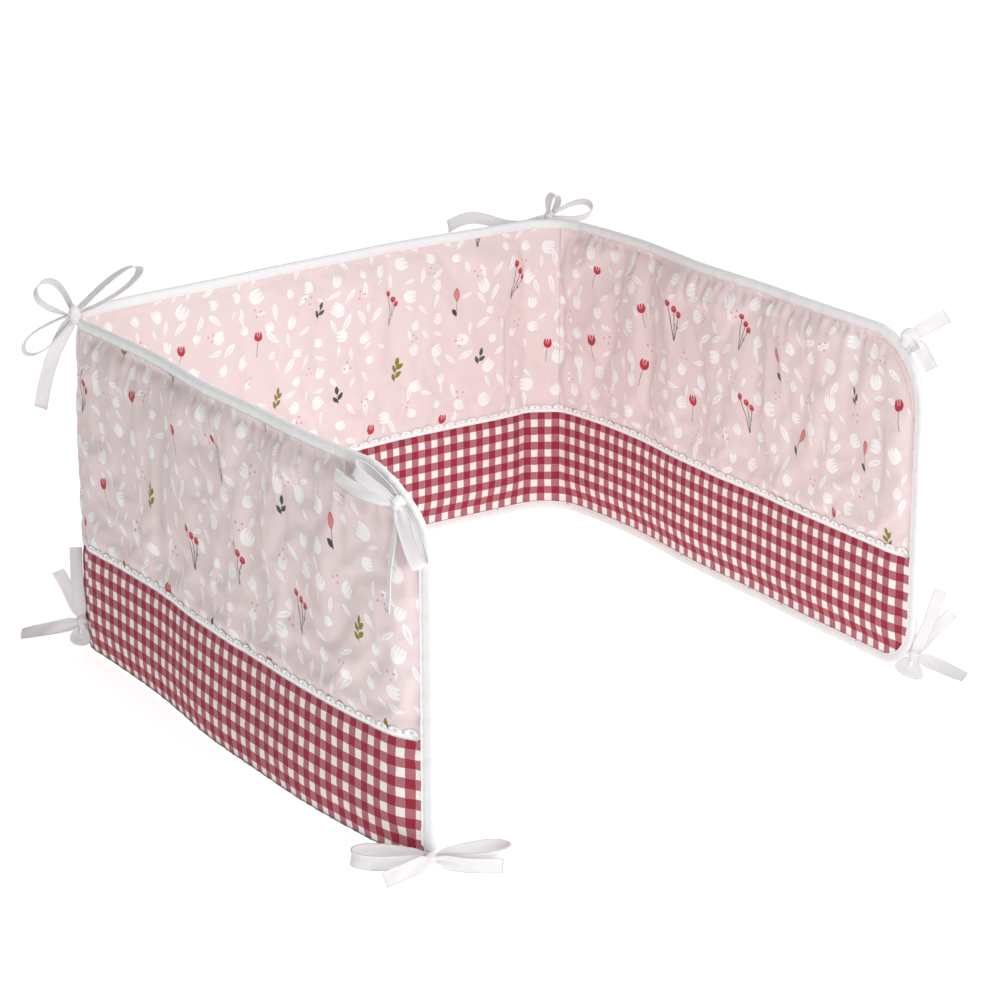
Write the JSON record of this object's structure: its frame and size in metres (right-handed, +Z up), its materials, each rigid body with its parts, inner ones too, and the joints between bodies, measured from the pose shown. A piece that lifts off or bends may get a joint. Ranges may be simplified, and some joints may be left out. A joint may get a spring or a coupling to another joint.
{
  "type": "crib bumper",
  "caption": "Padded cloth crib bumper that stands in an open U, with a printed upper panel, a gingham lower band, white binding and tape ties.",
  "frame": {"origin": "centre of the bounding box on the floor that the bumper stands on", "axes": "+Z up, the middle section roughly along X, the open side of the U towards -Y"},
  "size_m": [0.7901, 0.7027, 0.3495],
  "materials": {
    "print_cloth": "matte",
    "gingham_cloth": "matte",
    "lace": "matte",
    "binding_cloth": "soft sheen",
    "tape_cloth": "satin"
  },
  "bodies": {
    "root": {"gingham_panel": "gingham_cloth", "print_panel": "print_cloth", "lace_outer": "lace", "lace_inner": "lace", "binding": "binding_cloth", "tie_left_top": "tape_cloth", "tie_back_top": "tape_cloth", "tie_right_top": "tape_cloth", "tie_right_foot": "tape_cloth", "tie_left_foot": "tape_cloth", "tie_back_foot": "tape_cloth", "tie_near_top": "tape_cloth", "tie_near_foot": "tape_cloth"}
  },
  "joints": []
}
